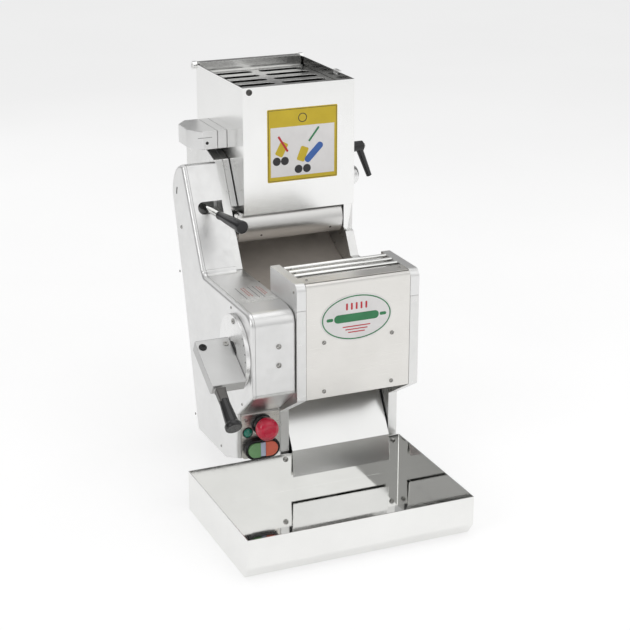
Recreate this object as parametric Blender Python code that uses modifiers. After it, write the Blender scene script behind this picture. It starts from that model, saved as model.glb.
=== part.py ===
"""Bench-top dough sheeter with a bolt-on pasta cutter.

The layout is measured in millimetres: x = 0 is the inner face of the left frame plate, y = 0 the front
plane of the cutter unit and z = 0 the bench. at() turns layout millimetres into the model's metres, whose
origin is the middle of the footprint.
"""

import math

import bmesh
import bpy
from mathutils import Vector

# ---------------------------------------------------------------- driving dimensions, mm
MM = 0.001
MIDDLE_X = 29.1
MIDDLE_Y = 143.75
GAP = 0.3

SHEET_WIDTH = 172.0
PLATE = 15.0
LEFT_PLATE = (-PLATE - GAP, -GAP)
RIGHT_PLATE = (SHEET_WIDTH + GAP, SHEET_WIDTH + PLATE + GAP)
NOSE_TOP = 322.7
NOSE_BOTTOM = 178.0
POST_FRONT = 70.0
FRAME_REAR = 366.0
BASE_TOP = 20.0
FOOT_RADIUS = 16.0
FOOT_HEIGHT = 11.7

WALL_SLOPE = 0.549
WALL_FOOT_Y = 220.0
WALL_FOOT_Z = 322.0
UPPER_TOP = 500.0

FRONT_ROLLER = (281.0, 380.5)
REAR_ROLLER = (331.0, 380.5)
ROLLER_RADIUS = 24.0
ROLLER_SPAN = (-12.0, 152.0)
ROLLER_SHAFT = 8.0
GUARD_CENTRE = (272.0, 383.0)
GUARD_RADIUS = 30.0

COVER_X = (-88.0, -80.5)
HOUSING_X = (-80.2, -15.6)
UPPER_HOUSING_RIGHT = -30.3
CASTING_WALL = 6.0
DECK = 323.5
CASTING_CROWN = (298.0, 428.0)
CASTING_CROWN_RADIUS = 55.0
LEVER_SLOT_Z = (410.0, 428.0)

DIAL = (61.0, 252.0)
DIAL_RADIUS = 57.0
DIAL_X = (-95.0, -88.3)
LEVER_BLOCK_X = (-150.0, -95.3)

MOTOR = (190.0, 112.0)
MOTOR_RADIUS = 46.0
DRIVE_PULLEY = 13.0
CUTTER_PULLEY = 11.0
CUTTER_DRIVE = (81.9, 301.1)
CUTTER_REAR = (81.9, 341.0)
CUTTER_FRONT = (52.5, 341.0)
CUTTER_RADIUS = 14.2
CUTTER_SHAFT = 6.0
CHEEK_BOTTOM = 323.0
CHEEK_TOP = 364.0
CHEEK_REAR = 105.0

HOPPER_X = (-4.0, 188.0)
HOPPER_FRONT = 243.0
HOPPER_REAR = 459.0
HOPPER_TOP = 611.0
HOPPER_BOTTOM = 405.3
HOPPER_SHEET = 2.0
LID_Z = (594.5, 596.0)
LID_AXIS = (468.0, 607.0)
CLAMP_PIVOT = (262.0, 495.0)

TRAY_X = (-170.0, 190.0)
TRAY_FRONT = -188.0
TRAY_BACK = 65.0
TRAY_RIM = 65.0
TRAY_CHAMFER = (15.0, 20.0)
TRAY_SHEET = 1.5

PANEL_Y = (68.5, 70.2)
ESTOP = (-47.1, 121.9)
TWIN_CENTRE = (-49.0, 83.0)
TWIN_SIZE = (58.0, 33.0)
PILOT = (-70.1, 110.3)

# ---------------------------------------------------------------- clean scene and collections
for old in list(bpy.data.objects):
    bpy.data.objects.remove(old, do_unlink=True)

parts = bpy.data.collections.new("dough_sheeter")
cutters = bpy.data.collections.new("cutters")
bpy.context.scene.collection.children.link(parts)
bpy.context.scene.collection.children.link(cutters)


# ---------------------------------------------------------------- materials
def finish(name, colour, roughness, metallic=0.0):
    material = bpy.data.materials.new(name)
    material.use_nodes = True
    shader = material.node_tree.nodes["Principled BSDF"]
    shader.inputs["Base Color"].default_value = (*colour, 1.0)
    shader.inputs["Roughness"].default_value = roughness
    shader.inputs["Metallic"].default_value = metallic
    material.diffuse_color = (*colour, 1.0)
    return material


POLISHED = finish("polished_stainless", (0.82, 0.82, 0.80), 0.08, 1.0)
BRUSHED = finish("brushed_stainless", (0.70, 0.69, 0.66), 0.32, 1.0)
CASTING = finish("satin_casting", (0.74, 0.74, 0.73), 0.38, 1.0)
MACHINED = finish("machined_aluminium", (0.62, 0.62, 0.61), 0.34, 1.0)
STEEL = finish("turned_steel", (0.60, 0.59, 0.57), 0.22, 1.0)
COATED = finish("coated_slide", (0.40, 0.37, 0.34), 0.42, 0.6)
MOTOR_PAINT = finish("motor_paint", (0.18, 0.19, 0.20), 0.5)
RUBBER = finish("black_rubber", (0.03, 0.03, 0.03), 0.75)
BLACK = finish("black_plastic", (0.025, 0.025, 0.025), 0.3)
RED = finish("red_button", (0.72, 0.03, 0.08), 0.3)
GREEN = finish("green_button", (0.22, 0.50, 0.25), 0.4)
ORANGE = finish("stop_button_red", (0.85, 0.24, 0.16), 0.4)
LENS = finish("green_lens", (0.02, 0.30, 0.20), 0.15)


# ---------------------------------------------------------------- building tools
def at(x, y, z):
    return Vector(((x - MIDDLE_X) * MM, (y - MIDDLE_Y) * MM, z * MM))


def add(name, mesh, material):
    made = bpy.data.objects.new(name, mesh)
    if material:
        mesh.materials.append(material)
        parts.objects.link(made)
    else:
        made.hide_render = True
        made.display_type = "WIRE"
        cutters.objects.link(made)
    return made


def block(name, x, y, z, material):
    """A box between low and high millimetres on each axis."""
    mesh = bpy.data.meshes.new(name)
    bm = bmesh.new()
    bmesh.ops.create_cube(bm, size=1.0)
    size = Vector((x[1] - x[0], y[1] - y[0], z[1] - z[0])) * MM
    bmesh.ops.scale(bm, vec=size, verts=bm.verts)
    bm.to_mesh(mesh)
    bm.free()
    made = add(name, mesh, material)
    made.location = at((x[0] + x[1]) / 2, (y[0] + y[1]) / 2, (z[0] + z[1]) / 2)
    return made


def slab(name, loops, low, high, axis, material):
    """Flat outline with holes, extruded along an axis.

    loops are lists of points, (y, z) along X, (x, z) along Y and (x, y) along Z; the first is the outside.
    """
    curve = bpy.data.curves.new(name, "CURVE")
    curve.dimensions = "2D"
    curve.fill_mode = "BOTH"
    curve.extrude = (high - low) / 2 * MM
    for loop in loops:
        spline = curve.splines.new("POLY")
        spline.points.add(len(loop) - 1)
        for point, (a, b) in zip(spline.points, loop):
            if axis == "X":
                place = ((a - MIDDLE_Y) * MM, b * MM, 0.0, 1.0)
            elif axis == "Y":
                place = ((a - MIDDLE_X) * MM, b * MM, 0.0, 1.0)
            else:
                place = ((a - MIDDLE_X) * MM, (b - MIDDLE_Y) * MM, 0.0, 1.0)
            point.co = place
        spline.use_cyclic_u = True
    drawn = bpy.data.objects.new(name, curve)
    cutters.objects.link(drawn)
    middle = (low + high) / 2
    if axis == "X":
        drawn.rotation_euler = (math.radians(90), 0.0, math.radians(90))
        drawn.location.x = (middle - MIDDLE_X) * MM
    elif axis == "Y":
        drawn.rotation_euler = (math.radians(90), 0.0, 0.0)
        drawn.location.y = (middle - MIDDLE_Y) * MM
    else:
        drawn.location.z = middle * MM
    graph = bpy.context.evaluated_depsgraph_get()
    mesh = bpy.data.meshes.new_from_object(drawn.evaluated_get(graph))
    mesh.transform(drawn.matrix_world)
    bpy.data.objects.remove(drawn, do_unlink=True)
    bm = bmesh.new()
    bm.from_mesh(mesh)
    bmesh.ops.remove_doubles(bm, verts=bm.verts, dist=1e-6)
    bmesh.ops.recalc_face_normals(bm, faces=bm.faces)
    bm.to_mesh(mesh)
    bm.free()
    mesh.materials.clear()
    return add(name, mesh, material)


AXIS_TURN = {"X": (0.0, math.radians(90), 0.0), "Y": (math.radians(-90), 0.0, 0.0), "Z": (0.0, 0.0, 0.0)}


def turned(name, profile, centre, axis, material, steps=28):
    """A profile of (radius, distance along the axis), far end first, spun about the axis."""
    mesh = bpy.data.meshes.new(name)
    points = [(radius * MM, 0.0, along * MM) for radius, along in profile]
    edges = [(i, i + 1) for i in range(len(points) - 1)]
    if profile[0][0] > 0:
        edges.append((len(points) - 1, 0))
    mesh.from_pydata(points, edges, [])
    made = add(name, mesh, material)
    made.location = at(*centre)
    made.rotation_euler = AXIS_TURN[axis]
    screw = made.modifiers.new("Screw", "SCREW")
    screw.steps = steps
    screw.render_steps = steps
    screw.use_merge_vertices = True
    screw.merge_threshold = 1e-6
    return made


def round_bar(name, radius, low, high, centre, axis, material, steps=28):
    return turned(name, [(0, high), (radius, high), (radius, low), (0, low)], centre, axis, material, steps)


def boolean(target, other, operation):
    other.hide_render = True
    other.display_type = "WIRE"
    for collection in list(other.users_collection):
        collection.objects.unlink(other)
    cutters.objects.link(other)
    step = target.modifiers.new(operation.title(), "BOOLEAN")
    step.operation = operation
    step.object = other
    step.solver = "EXACT"


def circle(centre, radius, count=28, start=0.0):
    angles = [start + 2 * math.pi * i / count for i in range(count)]
    return [(centre[0] + radius * math.cos(a), centre[1] + radius * math.sin(a)) for a in angles]


def arc(centre, radius, first, last, count=8):
    """Points on an arc between two angles in degrees."""
    angles = [math.radians(first + (last - first) * i / count) for i in range(count + 1)]
    return [(centre[0] + radius * math.cos(a), centre[1] + radius * math.sin(a)) for a in angles]


def stadium(centre, length, height, count=8):
    """A round-ended slot lying along its first coordinate."""
    reach = (length - height) / 2
    right = arc((centre[0] + reach, centre[1]), height / 2, -90, 90, count)
    left = arc((centre[0] - reach, centre[1]), height / 2, 90, 270, count)
    return right + left


def offset(loop, distance, closed=True):
    """The same outline moved to its left by a distance, with mitred corners."""
    moved = []
    count = len(loop)
    for i in range(count):
        here = Vector(loop[i])
        before = Vector(loop[i - 1]) if closed or i else None
        after = Vector(loop[(i + 1) % count]) if closed or i < count - 1 else None
        normals = []
        for start, end in ((before, here), (here, after)):
            if start is not None and end is not None:
                run = (end - start).normalized()
                normals.append(Vector((-run.y, run.x)))
        middle = sum(normals, Vector((0.0, 0.0))).normalized()
        moved.append(tuple(here + middle * (distance / middle.dot(normals[0]))))
    return moved


def strip(path, thickness):
    """The closed section of a sheet that follows an open path."""
    return offset(path, thickness / 2, closed=False) + offset(path, -thickness / 2, closed=False)[::-1]


def open_shell(name, x, profile, open_edges, thickness, material):
    """A sheet-metal box: a (y, z) profile swept along X with closed ends, some edges left open."""
    mesh = bpy.data.meshes.new(name)
    bm = bmesh.new()
    rows = [[bm.verts.new(at(end, y, z)) for y, z in profile] for end in x]
    count = len(profile)
    for i in range(count):
        if i not in open_edges:
            j = (i + 1) % count
            bm.faces.new((rows[0][i], rows[0][j], rows[1][j], rows[1][i]))
    bm.faces.new(rows[0])
    bm.faces.new(rows[1])
    bmesh.ops.recalc_face_normals(bm, faces=bm.faces)
    middle = sum((v.co for v in bm.verts), Vector()) / len(bm.verts)
    end_face = max(bm.faces, key=lambda face: face.calc_center_median().x)
    if end_face.normal.dot(end_face.calc_center_median() - middle) < 0:
        bmesh.ops.reverse_faces(bm, faces=bm.faces)
    bm.to_mesh(mesh)
    bm.free()
    made = add(name, mesh, material)
    skin = made.modifiers.new("Solidify", "SOLIDIFY")
    skin.thickness = thickness * MM
    skin.offset = -1.0
    skin.use_even_offset = True
    return made


def gear(centre, teeth, pitch_radius, start=0.0):
    """A spur gear's outline with straight-sided teeth and generous backlash."""
    module = 2 * pitch_radius / teeth
    step = 2 * math.pi / teeth
    outer = pitch_radius + 0.72 * module
    root = pitch_radius - 1.15 * module
    points = []
    for i in range(teeth):
        middle = start + i * step
        for angle, radius in ((-0.30, root), (-0.11, outer), (0.11, outer), (0.30, root)):
            turn = middle + angle * step
            points.append((centre[0] + radius * math.cos(turn), centre[1] + radius * math.sin(turn)))
    return points


def belt_loops(first, second, pulley, thickness):
    """The outside and inside of a belt round two equal pulleys."""
    heading = math.degrees(math.atan2(second[1] - first[1], second[0] - first[0]))
    loops = []
    for radius in (pulley + 0.4 + thickness, pulley + 0.4):
        far = arc(second, radius, heading - 90, heading + 90, 12)
        near = arc(first, radius, heading + 90, heading + 270, 12)
        loops.append(far + near)
    return loops


def wall_y(z):
    """Where the sloping front edge of the upper plates stands at a height."""
    return WALL_FOOT_Y + WALL_SLOPE * (z - WALL_FOOT_Z)


# ---------------------------------------------------------------- base and frame plates
def base():
    block("base_plate", (-14, 186), (84, 352), (FOOT_HEIGHT + GAP, BASE_TOP), CASTING)
    for side, x in (("left", 6), ("right", 166)):
        for end, y in (("front", 104), ("rear", 330)):
            profile = [(0, FOOT_HEIGHT), (FOOT_RADIUS - 2, FOOT_HEIGHT), (FOOT_RADIUS, 2)]
            profile += [(FOOT_RADIUS - 2, 0), (0, 0)]
            turned(f"foot_{end}_{side}", profile, (x, y, 0), "Z", RUBBER, 20)


def frame_plates():
    low = BASE_TOP + GAP
    nose = [(POST_FRONT, low), (FRAME_REAR, low)]
    front = [(0, NOSE_TOP), (0, NOSE_BOTTOM), (POST_FRONT, 137)]
    slide_step = [(FRAME_REAR, 292), (106, 292), (106, NOSE_TOP)]
    shafts = [circle(MOTOR, 9), circle(CUTTER_DRIVE, 7)]
    slab("left_frame_plate", [nose + slide_step + front] + shafts, *LEFT_PLATE, "X", CASTING)
    shoulder = [(FRAME_REAR, 404.7), (246.5, 404.7), (246.5, 361), (240.5, 359.5), (220, NOSE_TOP)]
    holes = [circle(FRONT_ROLLER, ROLLER_SHAFT + GAP), bearing_window()]
    slab("right_frame_plate", [nose + shoulder + front] + holes, *RIGHT_PLATE, "X", CASTING)
    block("rear_panel", (0.3, 171.9), (361, 362.5), (21, 404), BRUSHED)


def bearing_window():
    y, z = REAR_ROLLER
    return [(y - 18, z - 13), (y + 18, z - 13), (y + 18, z + 13), (y - 18, z + 13)]


def upper_outline(bottom):
    """The sloping upper plate from a given height to the bracket that carries the hopper."""
    front = [(wall_y(bottom) + 0.5, bottom), (370, bottom), (385, 405), (443, 431), (443, UPPER_TOP)]
    return front + [(366, UPPER_TOP), (308, 484)]


def upper_plates():
    holes = [circle(FRONT_ROLLER, ROLLER_SHAFT + GAP), bearing_window()]
    slab("left_upper_plate", [upper_outline(DECK + GAP)] + holes, -30.0, -15.6, "X", CASTING)
    side = [(wall_y(414) + 0.5, 414), (405, 414), (443, 431), (443, UPPER_TOP), (366, UPPER_TOP), (308, 484)]
    slab("hopper_side_plate", [side], -15.3, -5.3, "X", CASTING)


# ---------------------------------------------------------------- gearbox casting on the left
def casting_outline():
    """The cast gearbox seen from its side, counter-clockwise from the rear foot."""
    crown = arc(CASTING_CROWN, CASTING_CROWN_RADIUS, 0, 84, 8)
    foot = [(127, 47), (253, 45), (311, 283)]
    wall = [(298, 481.5), (218, 332)] + arc((204, 336), 12, -20, -80, 4)
    nose = arc((24, DECK - 20), 20, 90, 180, 6) + arc((14, 198), 10, 180, 235, 4)
    lower = [(POST_FRONT + 0.5, 141), (POST_FRONT + 0.5, 68)]
    return foot + crown + wall + nose + lower


def gearbox():
    outline = casting_outline()
    housing = slab("gearbox_housing", [outline], *HOUSING_X, "X", CASTING)
    inside = offset(outline, CASTING_WALL)
    far_side = UPPER_HOUSING_RIGHT - CASTING_WALL
    upper = slab("cut_upper_cavity", [inside], HOUSING_X[0] - 9, far_side, "X", None)
    boolean(housing, upper, "DIFFERENCE")
    low_part = [point for point in inside if point[1] < DECK - CASTING_WALL - 1]
    rear_top = (inside[3][0] - 7, DECK - CASTING_WALL)
    cut_at = low_part.index(inside[2]) + 1
    lower_loop = low_part[:cut_at] + [rear_top, (34, DECK - CASTING_WALL)] + low_part[cut_at:]
    lower = slab("cut_lower_cavity", [lower_loop], -50, HOUSING_X[1] - CASTING_WALL, "X", None)
    boolean(housing, lower, "DIFFERENCE")
    step = block("cut_upper_step", (UPPER_HOUSING_RIGHT, 0), (150, 420), (DECK, 520), None)
    boolean(housing, step, "DIFFERENCE")
    slot_outline = stadium((-45, 419), 58, LEVER_SLOT_Z[1] - LEVER_SLOT_Z[0])
    slot = slab("cut_lever_slot", [slot_outline], 240, 296, "Y", None)
    boolean(housing, slot, "DIFFERENCE")
    shaft_holes = (("motor", MOTOR, 9), ("cutter", CUTTER_DRIVE, 7), ("roller", FRONT_ROLLER, 10))
    for name, centre, radius in shaft_holes:
        hole = round_bar(f"cut_{name}_shaft", radius, -45, -5, (0, *centre), "X", None)
        boolean(housing, hole, "DIFFERENCE")
    slab("gearbox_cover", [outline, circle(DIAL, 9.5)], *COVER_X, "X", CASTING)
    gland = [(0, 28), (6, 28), (9, 22), (9, 12), (11, 12), (11, 0), (0, 0)]
    turned("cable_gland", gland, (-64, 262.4, 62), "Y", BLACK, 16)


def dial():
    slab("dial_plate", [circle(DIAL, DIAL_RADIUS, 48), circle(DIAL, 9.5)], *DIAL_X, "X", MACHINED)


# ---------------------------------------------------------------- control panel
def controls():
    low, high = PANEL_Y
    corners = arc((-74, 72), 6, 270, 180, 4)[::-1] + arc((-25, 74), 8, 270, 360, 4)
    slab("control_panel", [corners + [(-17, 139.5), (-80, 139.5)]], low, high, "Y", BRUSHED)
    face = low - GAP
    socket = [(0, 0), (15, 0), (15, -12.2), (9.5, -12.2), (9.5, -2.2), (0, -2.2)]
    turned("estop_base", socket, (ESTOP[0], face, ESTOP[1]), "Y", BLACK, 24)
    stem = [(0, 11.5), (9, 11.5), (9, 0)]
    head = [(17, 0), (18, -3), (18, -9), (15.5, -14), (9.5, -16.5), (0, -17)]
    turned("estop_button", stem + head, (ESTOP[0], 50, ESTOP[1]), "Y", RED, 28)
    boot = slab("button_housing", [stadium(TWIN_CENTRE, *TWIN_SIZE)], 58, face, "Y", BLACK)
    recess = slab("cut_button_recess", [stadium(TWIN_CENTRE, 50, 25)], 50, 64.5, "Y", None)
    boolean(boot, recess, "DIFFERENCE")
    x, z = TWIN_CENTRE
    ends = arc((x - 12.5, z), 11.9, 90, 270, 10)
    slab("start_button", [ends + [(x - 4.5, z - 11.9), (x - 4.5, z + 11.9)]], 55.5, 61, "Y", GREEN)
    ends = arc((x + 12.5, z), 11.9, -90, 90, 10)
    slab("stop_button", [ends + [(x + 4.5, z + 11.9), (x + 4.5, z - 11.9)]], 55.5, 61, "Y", ORANGE)
    lens = [(0, 0), (7.5, 0), (7.5, -2), (6, -2), (6, -4), (4, -5.7), (0, -6.4)]
    turned("pilot_light", lens, (PILOT[0], face, PILOT[1]), "Y", LENS, 20)


# ---------------------------------------------------------------- tray, chute and slide
def sheets():
    run, rise = TRAY_CHAMFER
    profile = [(TRAY_BACK, TRAY_RIM), (TRAY_BACK, 0), (TRAY_FRONT + run, 0)]
    profile += [(TRAY_FRONT, rise), (TRAY_FRONT, TRAY_RIM)]
    open_shell("tray", TRAY_X, profile, [4], TRAY_SHEET, POLISHED)
    chute = strip([(134, 185), (62, 69), (59, 25)], 1.5)
    slab("discharge_chute", [chute], 2, 170, "X", POLISHED)
    slide = strip([(322, 350), (300, 333), (275, 318), (250, 309), (200, 303), (112, 300)], 2)
    slab("dough_slide", [slide], -15.2, 171.9, "X", COATED)
    outside = arc(GUARD_CENTRE, GUARD_RADIUS, 134, 235, 12)
    inside = arc(GUARD_CENTRE, GUARD_RADIUS - 2, 235, 134, 12)
    slab("roller_guard", [outside + inside], -13, 168, "X", POLISHED)


# ---------------------------------------------------------------- drive
def drive():
    y, z = MOTOR
    motor = round_bar("motor", MOTOR_RADIUS, 14, 152, (0, y, z), "X", MOTOR_PAINT, 32)
    pedestal = block("join_pedestal", (40, 130), (y - 32, y + 32), (BASE_TOP + GAP, z - 30), None)
    boolean(motor, pedestal, "UNION")
    box = block("join_terminal_box", (60, 124), (y - 24, y + 24), (z + 35, z + 62), None)
    boolean(motor, box, "UNION")
    stub = 13.5
    pulley = [(0, stub), (6, stub), (6, -38), (CUTTER_PULLEY, -38), (CUTTER_PULLEY, -46.6)]
    pulley += [(DRIVE_PULLEY, -46.6), (DRIVE_PULLEY, -58.5), (0, -58.5)]
    turned("motor_pulley", pulley, (0, y, z), "X", STEEL)
    drive_belt = belt_loops(MOTOR, FRONT_ROLLER, DRIVE_PULLEY, 2.9)
    slab("drive_belt", drive_belt, -57.8, -48.2, "X", RUBBER)
    cutter_belt = belt_loops(MOTOR, CUTTER_DRIVE, CUTTER_PULLEY, 2.9)
    slab("cutter_belt", cutter_belt, -46, -38.4, "X", RUBBER)
    bore = ROLLER_SHAFT + GAP
    ring = [(DRIVE_PULLEY, -47.5), (DRIVE_PULLEY, -58.5), (bore, -58.5), (bore, -47.5)]
    turned("roller_pulley", ring, (0, *FRONT_ROLLER), "X", STEEL)
    shaft = [(0, 12.5), (CUTTER_SHAFT, 12.5), (CUTTER_SHAFT, -38), (CUTTER_PULLEY, -38)]
    shaft += [(CUTTER_PULLEY, -46.6), (0, -46.6)]
    turned("cutter_drive_shaft", shaft, (0, *CUTTER_DRIVE), "X", STEEL, 24)


# ---------------------------------------------------------------- sheeting rollers
ROLLER_TEETH = 18
ROLLER_PITCH = 25.0


def rollers():
    left, right = ROLLER_SPAN
    shaft = ROLLER_SHAFT
    body = [(shaft, right), (ROLLER_RADIUS, right), (ROLLER_RADIUS, left), (shaft, left)]
    front = [(0, 185), (shaft, 185)] + body + [(shaft, -62), (0, -62)]
    turned("sheeting_roller_front", front, (0, *FRONT_ROLLER), "X", STEEL, 36)
    rear = [(0, 185), (shaft, 185)] + body + [(shaft, -28.5), (0, -28.5)]
    turned("sheeting_roller_rear", rear, (0, *REAR_ROLLER), "X", STEEL, 36)
    half_tooth = math.pi / ROLLER_TEETH
    for name, centre, start in (("front", FRONT_ROLLER, 0.0), ("rear", REAR_ROLLER, math.pi + half_tooth)):
        loops = [gear(centre, ROLLER_TEETH, ROLLER_PITCH, start), circle(centre, shaft + GAP, 24)]
        slab(f"roller_gear_{name}", loops, 154, 166, "X", STEEL)
    y, z = REAR_ROLLER
    square = [(y - 13.5, z - 12.6), (y + 13.5, z - 12.6), (y + 13.5, z + 12.6), (y - 13.5, z + 12.6)]
    for name, x in (("left", (-29.6, -16)), ("right", (172.8, 186.8))):
        slab(f"rear_bearing_{name}", [square, circle(REAR_ROLLER, shaft + GAP)], *x, "X", MACHINED)


# ---------------------------------------------------------------- thickness lever
def thickness_lever():
    block_outline = [(78, 270), (2, 225), (11.7, 208.7), (87.7, 253.7)]
    slab("thickness_lever_block", [block_outline], *LEVER_BLOCK_X, "X", MACHINED)
    shaft = [(0, -64), (9, -64), (9, -95), (0, -95)]
    cam_shaft = turned("lever_shaft", shaft, (0, *DIAL), "X", STEEL, 24)
    cam = round_bar("join_cam", 13, -76, -66, (0, DIAL[0] + 3, DIAL[1]), "X", None, 24)
    boolean(cam_shaft, cam, "UNION")
    start = Vector((-139, -1, 218))
    end = Vector((-139, -58, 179))
    length = (end - start).length
    profile = [(0, length), (10, length), (12.6, length - 2.5), (12.6, length - 7), (10, length - 9)]
    profile += [(7, 20), (6.3, 14), (7.5, 0), (0, 0)]
    grip = turned("thickness_grip", profile, tuple(start), "Z", BLACK, 24)
    grip.rotation_euler = (end - start).to_track_quat("Z", "Y").to_euler()


# ---------------------------------------------------------------- clutch lever
CLUTCH_PIVOT = Vector((-67.5, 330, 419))
CLUTCH_TIP = Vector((-45, 142, 418))


def clutch():
    run = CLUTCH_TIP - CLUTCH_PIVOT
    turn = run.to_track_quat("Z", "Y").to_euler()
    rod_end = run.length - 80
    rod = round_bar("clutch_lever", 5, 0, rod_end, tuple(CLUTCH_PIVOT), "Z", POLISHED, 20)
    rod.rotation_euler = turn
    boss = round_bar("join_boss", 8, -6, 6, tuple(CLUTCH_PIVOT), "Z", None, 20)
    boolean(rod, boss, "UNION")
    profile = [(0, run.length), (8, run.length), (10, run.length - 2), (10, run.length - 6)]
    profile += [(6.5, rod_end + 6), (6, rod_end + GAP), (0, rod_end + GAP)]
    grip = turned("clutch_grip", profile, tuple(CLUTCH_PIVOT), "Z", BLACK, 24)
    grip.rotation_euler = turn


# ---------------------------------------------------------------- cutter unit
CUTTER_TEETH = 14
CUTTER_PITCH = 14.7
DRIVE_TEETH = 24
DRIVE_PITCH = 25.2


def cutter_unit():
    corner = arc((12, CHEEK_TOP - 12), 12, 90, 180, 5)
    outline = [(0, CHEEK_BOTTOM), (CHEEK_REAR, CHEEK_BOTTOM), (CHEEK_REAR, CHEEK_TOP)] + corner
    bore_depth = PLATE - 4
    for side, plate, bore in (("left", LEFT_PLATE, (-bore_depth, 1)), ("right", RIGHT_PLATE,
                              (SHEET_WIDTH - 1, SHEET_WIDTH + bore_depth))):
        cheek = slab(f"cutter_cheek_{side}", [outline], *plate, "X", MACHINED)
        for end, centre in (("front", CUTTER_FRONT), ("rear", CUTTER_REAR)):
            name = f"cut_{side}_{end}_bore"
            seat = round_bar(name, CUTTER_SHAFT + GAP, *bore, (0, *centre), "X", None, 24)
            boolean(cheek, seat, "DIFFERENCE")
    width = (0.0, SHEET_WIDTH)
    face = strip([(1, 178.3), (1, 356), (2.2, 360), (5.5, 361.5)], 2)
    slab("cutter_front_plate", [face], *width, "X", BRUSHED)
    block("cutter_top_strip", width, (8.5, 34), (361, 363), BRUSHED)
    for name, y in (("front", 48.5), ("middle", 68), ("rear", 88)):
        round_bar(f"guard_rod_{name}", 3.2, *width, (0, y, 362.1), "X", POLISHED, 16)
    upright = math.pi / 2
    # The rear gear's tooth points down into the drive gear, which leaves a gap facing the front gear's tooth.
    starts = {"rear": -upright, "front": 0.0}
    for name, centre in (("front", CUTTER_FRONT), ("rear", CUTTER_REAR)):
        shaft = CUTTER_SHAFT
        body = [(shaft, 169), (CUTTER_RADIUS, 169), (CUTTER_RADIUS, 14), (shaft, 14)]
        left, right = 1 - bore_depth, SHEET_WIDTH + bore_depth - 1
        profile = [(0, right), (shaft, right)] + body + [(shaft, left), (0, left)]
        roller = turned(f"cutting_roller_{name}", profile, (0, *centre), "X", STEEL, 24)
        teeth = gear(centre, CUTTER_TEETH, CUTTER_PITCH, starts[name])
        wheel = slab(f"join_gear_{name}", [teeth], 3, 11, "X", None)
        boolean(roller, wheel, "UNION")
    loops = [gear(CUTTER_DRIVE, DRIVE_TEETH, DRIVE_PITCH, upright + math.pi / DRIVE_TEETH)]
    loops.append(circle(CUTTER_DRIVE, CUTTER_SHAFT + GAP, 24))
    slab("cutter_drive_gear", loops, 3, 11, "X", STEEL)


# ---------------------------------------------------------------- hopper
def hopper():
    shell_profile = [(HOPPER_REAR, HOPPER_TOP), (HOPPER_REAR, 440), (352, HOPPER_BOTTOM)]
    shell_profile += [(HOPPER_FRONT, HOPPER_BOTTOM), (HOPPER_FRONT, HOPPER_TOP)]
    shell = open_shell("hopper_shell", HOPPER_X, shell_profile, [2, 4], HOPPER_SHEET, POLISHED)
    tongue = [(170, 420), (170, 366), (176.5, 362), (187.5, 420)]
    lip = slab("join_tongue", [tongue], HOPPER_FRONT + 0.1, HOPPER_FRONT + 1.9, "Y", None)
    boolean(shell, lip, "UNION")
    y, z = LID_AXIS
    for side, low, high in (("left", -8, -0.5), ("right", 184.5, 192)):
        ring = [(7.5, high), (7.5, low), (3.4, low), (3.4, high)]
        ear = turned(f"join_{side}_ear", ring, (0, y, z), "X", None, 20)
        boolean(shell, ear, "UNION")
        lug_x = (max(low, HOPPER_X[0]) + 0.2, min(high, HOPPER_X[1]) - 0.2)
        lug = block(f"join_{side}_lug", lug_x, (HOPPER_REAR - 1, y - 5), (z - 5, z + 2), None)
        boolean(shell, lug, "UNION")
    lid(y, z)
    round_bar("lid_hinge_pin", 3, -8, 192, (0, y, z), "X", STEEL, 16)
    bracket = [(-4.3, 316), (-19.7, 316), (-19.7, 408), (-4.3, 408)]
    slab("hopper_bracket", [bracket], UPPER_TOP + GAP, 530, "Z", MACHINED)
    block_outline = [(-20.2, 316), (-45, 316), (-63, 345), (-63, 385), (-45, 408), (-20.2, 408)]
    slab("bracket_block", [block_outline], UPPER_TOP + GAP, 530, "Z", MACHINED)
    clamp()


LID_ROWS = 6
LID_PITCH = 34.0
LID_COLUMNS = (47, 137)
LID_SLOT = (78, 17)
LID_STRIP = 1.5


def lid(y, z):
    """The grille and, spot-welded on its rear edge, the hinge strip with its barrel."""
    low, high = LID_Z
    edge = [(-1.2, 247), (185.2, 247), (185.2, 455), (-1.2, 455)]
    slots = []
    for row in range(LID_ROWS):
        for column in LID_COLUMNS:
            slots.append(stadium((column, 263 + LID_PITCH * row), *LID_SLOT, 6))
    slab("hopper_lid", [edge] + slots, low, high, "Z", POLISHED)
    strip_z = high + GAP + LID_STRIP / 2
    top = z + 5.8
    hook = strip([(446, strip_z), (454.2, strip_z), (454.2, top), (y, top)], LID_STRIP)
    hinge = slab("lid_hinge", [hook], 0.6, 183.4, "X", POLISHED)
    ring = [(6.6, 183.6), (6.6, 0.4), (3.4, 0.4), (3.4, 183.6)]
    barrel = turned("join_lid_barrel", ring, (0, y, z), "X", None, 20)
    boolean(hinge, barrel, "UNION")


def clamp():
    y, z = CLAMP_PIVOT
    knob = [(0, 213), (6, 213), (8.5, 211), (8.5, 188.6), (0, 188.6)]
    hub = turned("clamp_lever", knob, (0, y, z), "X", BLACK, 20)
    start = Vector((204, y, z))
    end = Vector((224, y, z - 51))
    length = (end - start).length
    arm = turned("join_arm", [(0, length), (4.5, length), (6, 0), (0, 0)], tuple(start), "Z", None, 16)
    arm.rotation_euler = (end - start).to_track_quat("Z", "Y").to_euler()
    boolean(hub, arm, "UNION")
    dome = [(0, 207)]
    for degrees in (25, 50, 72, 90):
        angle = math.radians(degrees)
        dome.append((17 * math.sin(angle), 193 + 14 * math.cos(angle)))
    dome += [(17, 188.4), (0, 188.4)]
    turned("bearing_cap", dome, (0, 268, 447), "X", MACHINED, 28)


base()
frame_plates()
upper_plates()
gearbox()
dial()
controls()
sheets()
drive()
rollers()
thickness_lever()
clutch()
cutter_unit()
hopper()

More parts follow.
